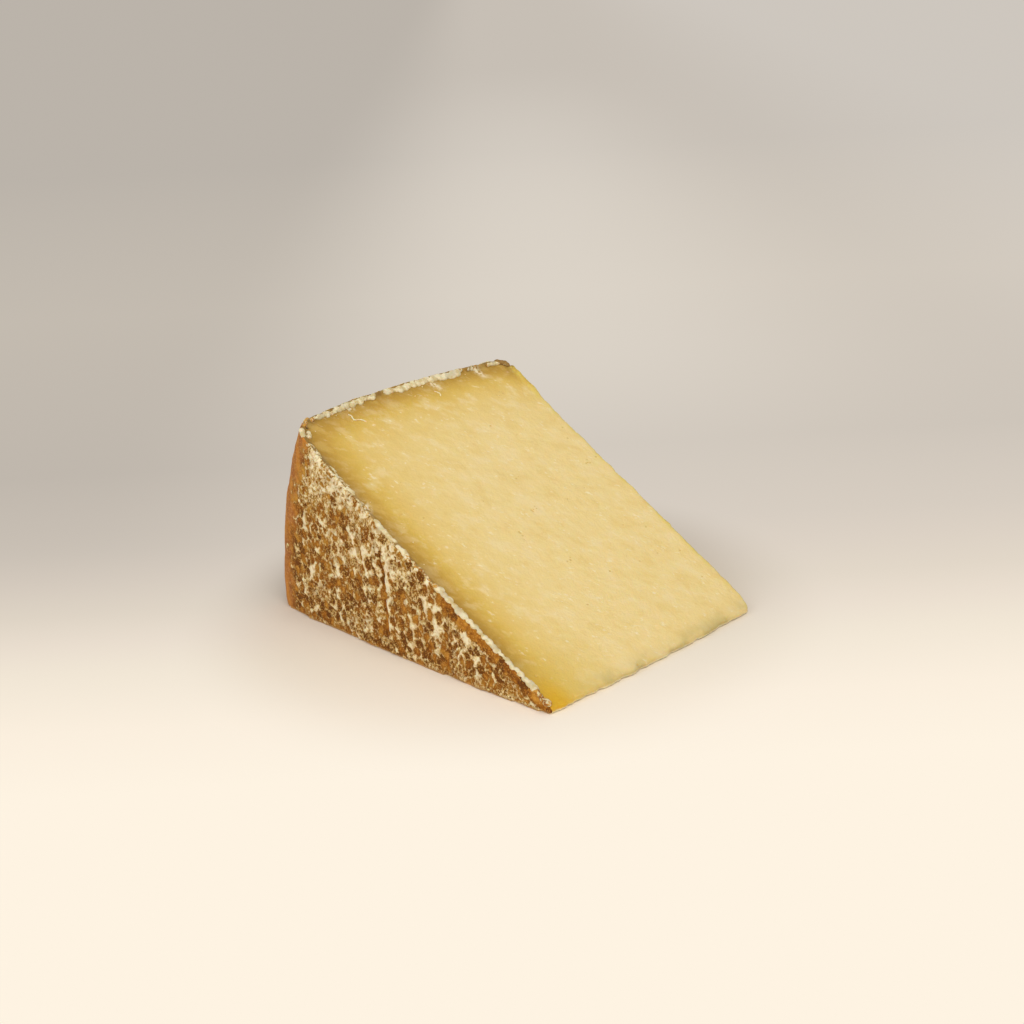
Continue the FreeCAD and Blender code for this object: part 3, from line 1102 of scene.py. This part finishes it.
def make_lamp(name, azimuth, elevation, distance, size, level):
    """A square lamp that lights a facing white surface to that level."""
    lamp = bpy.data.lights.new(name, "AREA")
    lamp.size = size
    lamp.energy = level * math.pi ** 2 * distance ** 2
    towards = direction(math.radians(azimuth), math.radians(elevation))
    obj = new_object(name, lamp)
    obj.location = MIDDLE + towards * distance
    obj.rotation_mode = "QUATERNION"
    obj.rotation_quaternion = towards.to_track_quat("Z", "Y")


FLOOR_SHADES = (
    # metres behind the part's middle, and the floor's colour there, painted lighter in front
    (-0.165, rgb(254, 243, 226)),
    (-0.11, rgb(251, 239, 222)),
    (-0.05, rgb(241, 230, 213)),
    (-0.015, rgb(234, 222, 207)),
    (0.02, rgb(226, 215, 200)),
    (0.065, rgb(220, 209, 196)),
    (0.11, rgb(214, 204, 192)),
    (0.25, rgb(204, 195, 184)),
    (0.7, rgb(208, 199, 187)),
    (1.6, rgb(199, 191, 181)),
)
BACKDROP = FLOOR_SHADES[-1][1]
BLACK = rgb(0, 0, 0)
WHITE = rgb(255, 255, 255)
GLEAM = rgb(255, 248, 236)
SKY = rgb(250, 248, 244)
SKY_LEVEL = 0.45
# in metres: half the floor's side, and how far below the part it lies
FLOOR_HALF = 12.0
FLOOR_GAP = 0.05 * MM
# up to here the lamps alone light the floor, and from there on it glows by itself
LIT_FLOOR = 0.11
UNLIT_FLOOR = 0.17


def floor_colour(nodes, parts):
    """The floor's painted light: darker behind on the left, lighter on the right and a bright pool in
    the middle.
    """
    near, far = FLOOR_SHADES[0][0], FLOOR_SHADES[-1][0]
    plugs = {"Value": parts["Y"], "From Min": near, "From Max": far}
    share = nodes.add("MapRange", plugs).outputs[0]
    shades = nodes.ramp(share, [((y - near) / (far - near), shade) for y, shade in FLOOR_SHADES])
    behind = nodes.step(parts["Y"], -0.05, 0.15)
    darker = nodes.times(behind, nodes.step(parts["X"], 0.0, -0.26, 0.0, 0.13))
    lighter = nodes.times(behind, nodes.step(parts["X"], 0.2, 0.8, 0.0, 0.1))
    # a painted pool of light in the middle of the floor
    aside = nodes.math("ABSOLUTE", nodes.math("SUBTRACT", parts["X"], 0.06))
    middle = nodes.times(nodes.step(aside, 0.35, 0.0), nodes.step(parts["Y"], 0.0, 0.5))
    middle = nodes.times(middle, nodes.step(parts["Y"], 3.0, 1.0, 0.0, 0.22))
    shades = nodes.mix(darker, shades, BLACK)
    shades = nodes.mix(lighter, shades, WHITE)
    return nodes.mix(middle, shades, GLEAM)


def make_floor():
    """A pale floor with painted light, darker behind, that glows evenly where the lamps don't reach.
    """
    turns = ((-1, -1), (1, -1), (1, 1), (-1, 1))
    corners = [(x * FLOOR_HALF, y * FLOOR_HALF, 0) for x, y in turns]
    floor = new_object("floor", mesh_from("floor", corners, [(0, 1, 2, 3)]))
    floor.location.z = wedge.low.z - FLOOR_GAP
    floor.rotation_euler.z = CAMERA_AZIMUTH
    material, nodes, shader = new_material("floor")
    place = nodes.place()
    parts = nodes.add("SeparateXYZ", {0: place}).outputs
    shades = floor_colour(nodes, parts)
    nodes.join(shades, shader, "Base Color")
    shader.inputs["Roughness"].default_value = 0.9
    glow = nodes.add("Emission", {"Color": shades}).outputs[0]
    distance = nodes.add("VectorMath", {0: place}, operation="LENGTH").outputs["Value"]
    rays = nodes.add("LightPath", {}).outputs
    seen = nodes.math("MAXIMUM", rays["Is Camera Ray"], rays["Is Glossy Ray"])
    unlit = nodes.times(seen, nodes.step(distance, LIT_FLOOR, UNLIT_FLOOR))
    mixed = nodes.add("MixShader", {0: unlit, 1: shader.outputs[0], 2: glow})
    nodes.join(mixed.outputs[0], material.node_tree.nodes["Material Output"], "Surface")
    floor.data.materials.append(material)


def make_world():
    """Even light from all round, and a pale backdrop beyond the floor."""
    world = bpy.data.worlds.new("world")
    bpy.context.scene.world = world
    world.use_nodes = True
    nodes = Nodes(world.node_tree)
    light = world.node_tree.nodes["Background"]
    light.inputs["Color"].default_value = SKY
    light.inputs["Strength"].default_value = SKY_LEVEL
    backdrop = nodes.add("Background", {"Color": BACKDROP, "Strength": 1.0})
    seen = nodes.add("LightPath", {}).outputs["Is Camera Ray"]
    mixed = nodes.add("MixShader", {0: seen, 1: light.outputs[0], 2: backdrop.outputs[0]})
    nodes.join(mixed.outputs[0], world.node_tree.nodes["World Output"], "Surface")


# ---- the scene


def add_piece(name, mesh, material):
    """A piece of the cheese."""
    mesh.shade_smooth()
    mesh.materials.clear()
    mesh.materials.append(material)
    piece = new_object(name, mesh)
    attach(piece, BODY)
    return piece


rng = np.random.default_rng(SEED)
body = add_piece("wedge", body_mesh(rng), body_material())
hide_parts(NODE)
add_piece("crust", crust_mesh(rng), crust_material())
add_piece("crumbs", crumb_mesh(rng), crumb_material())

make_camera()
make_floor()
make_world()
make_lamp("key", azimuth=75, elevation=50, distance=3.0, size=1.9, level=0.5)
make_lamp("fill", azimuth=-10, elevation=32, distance=3.0, size=2.8, level=0.34)
bpy.context.scene.view_settings.view_transform = "Standard"
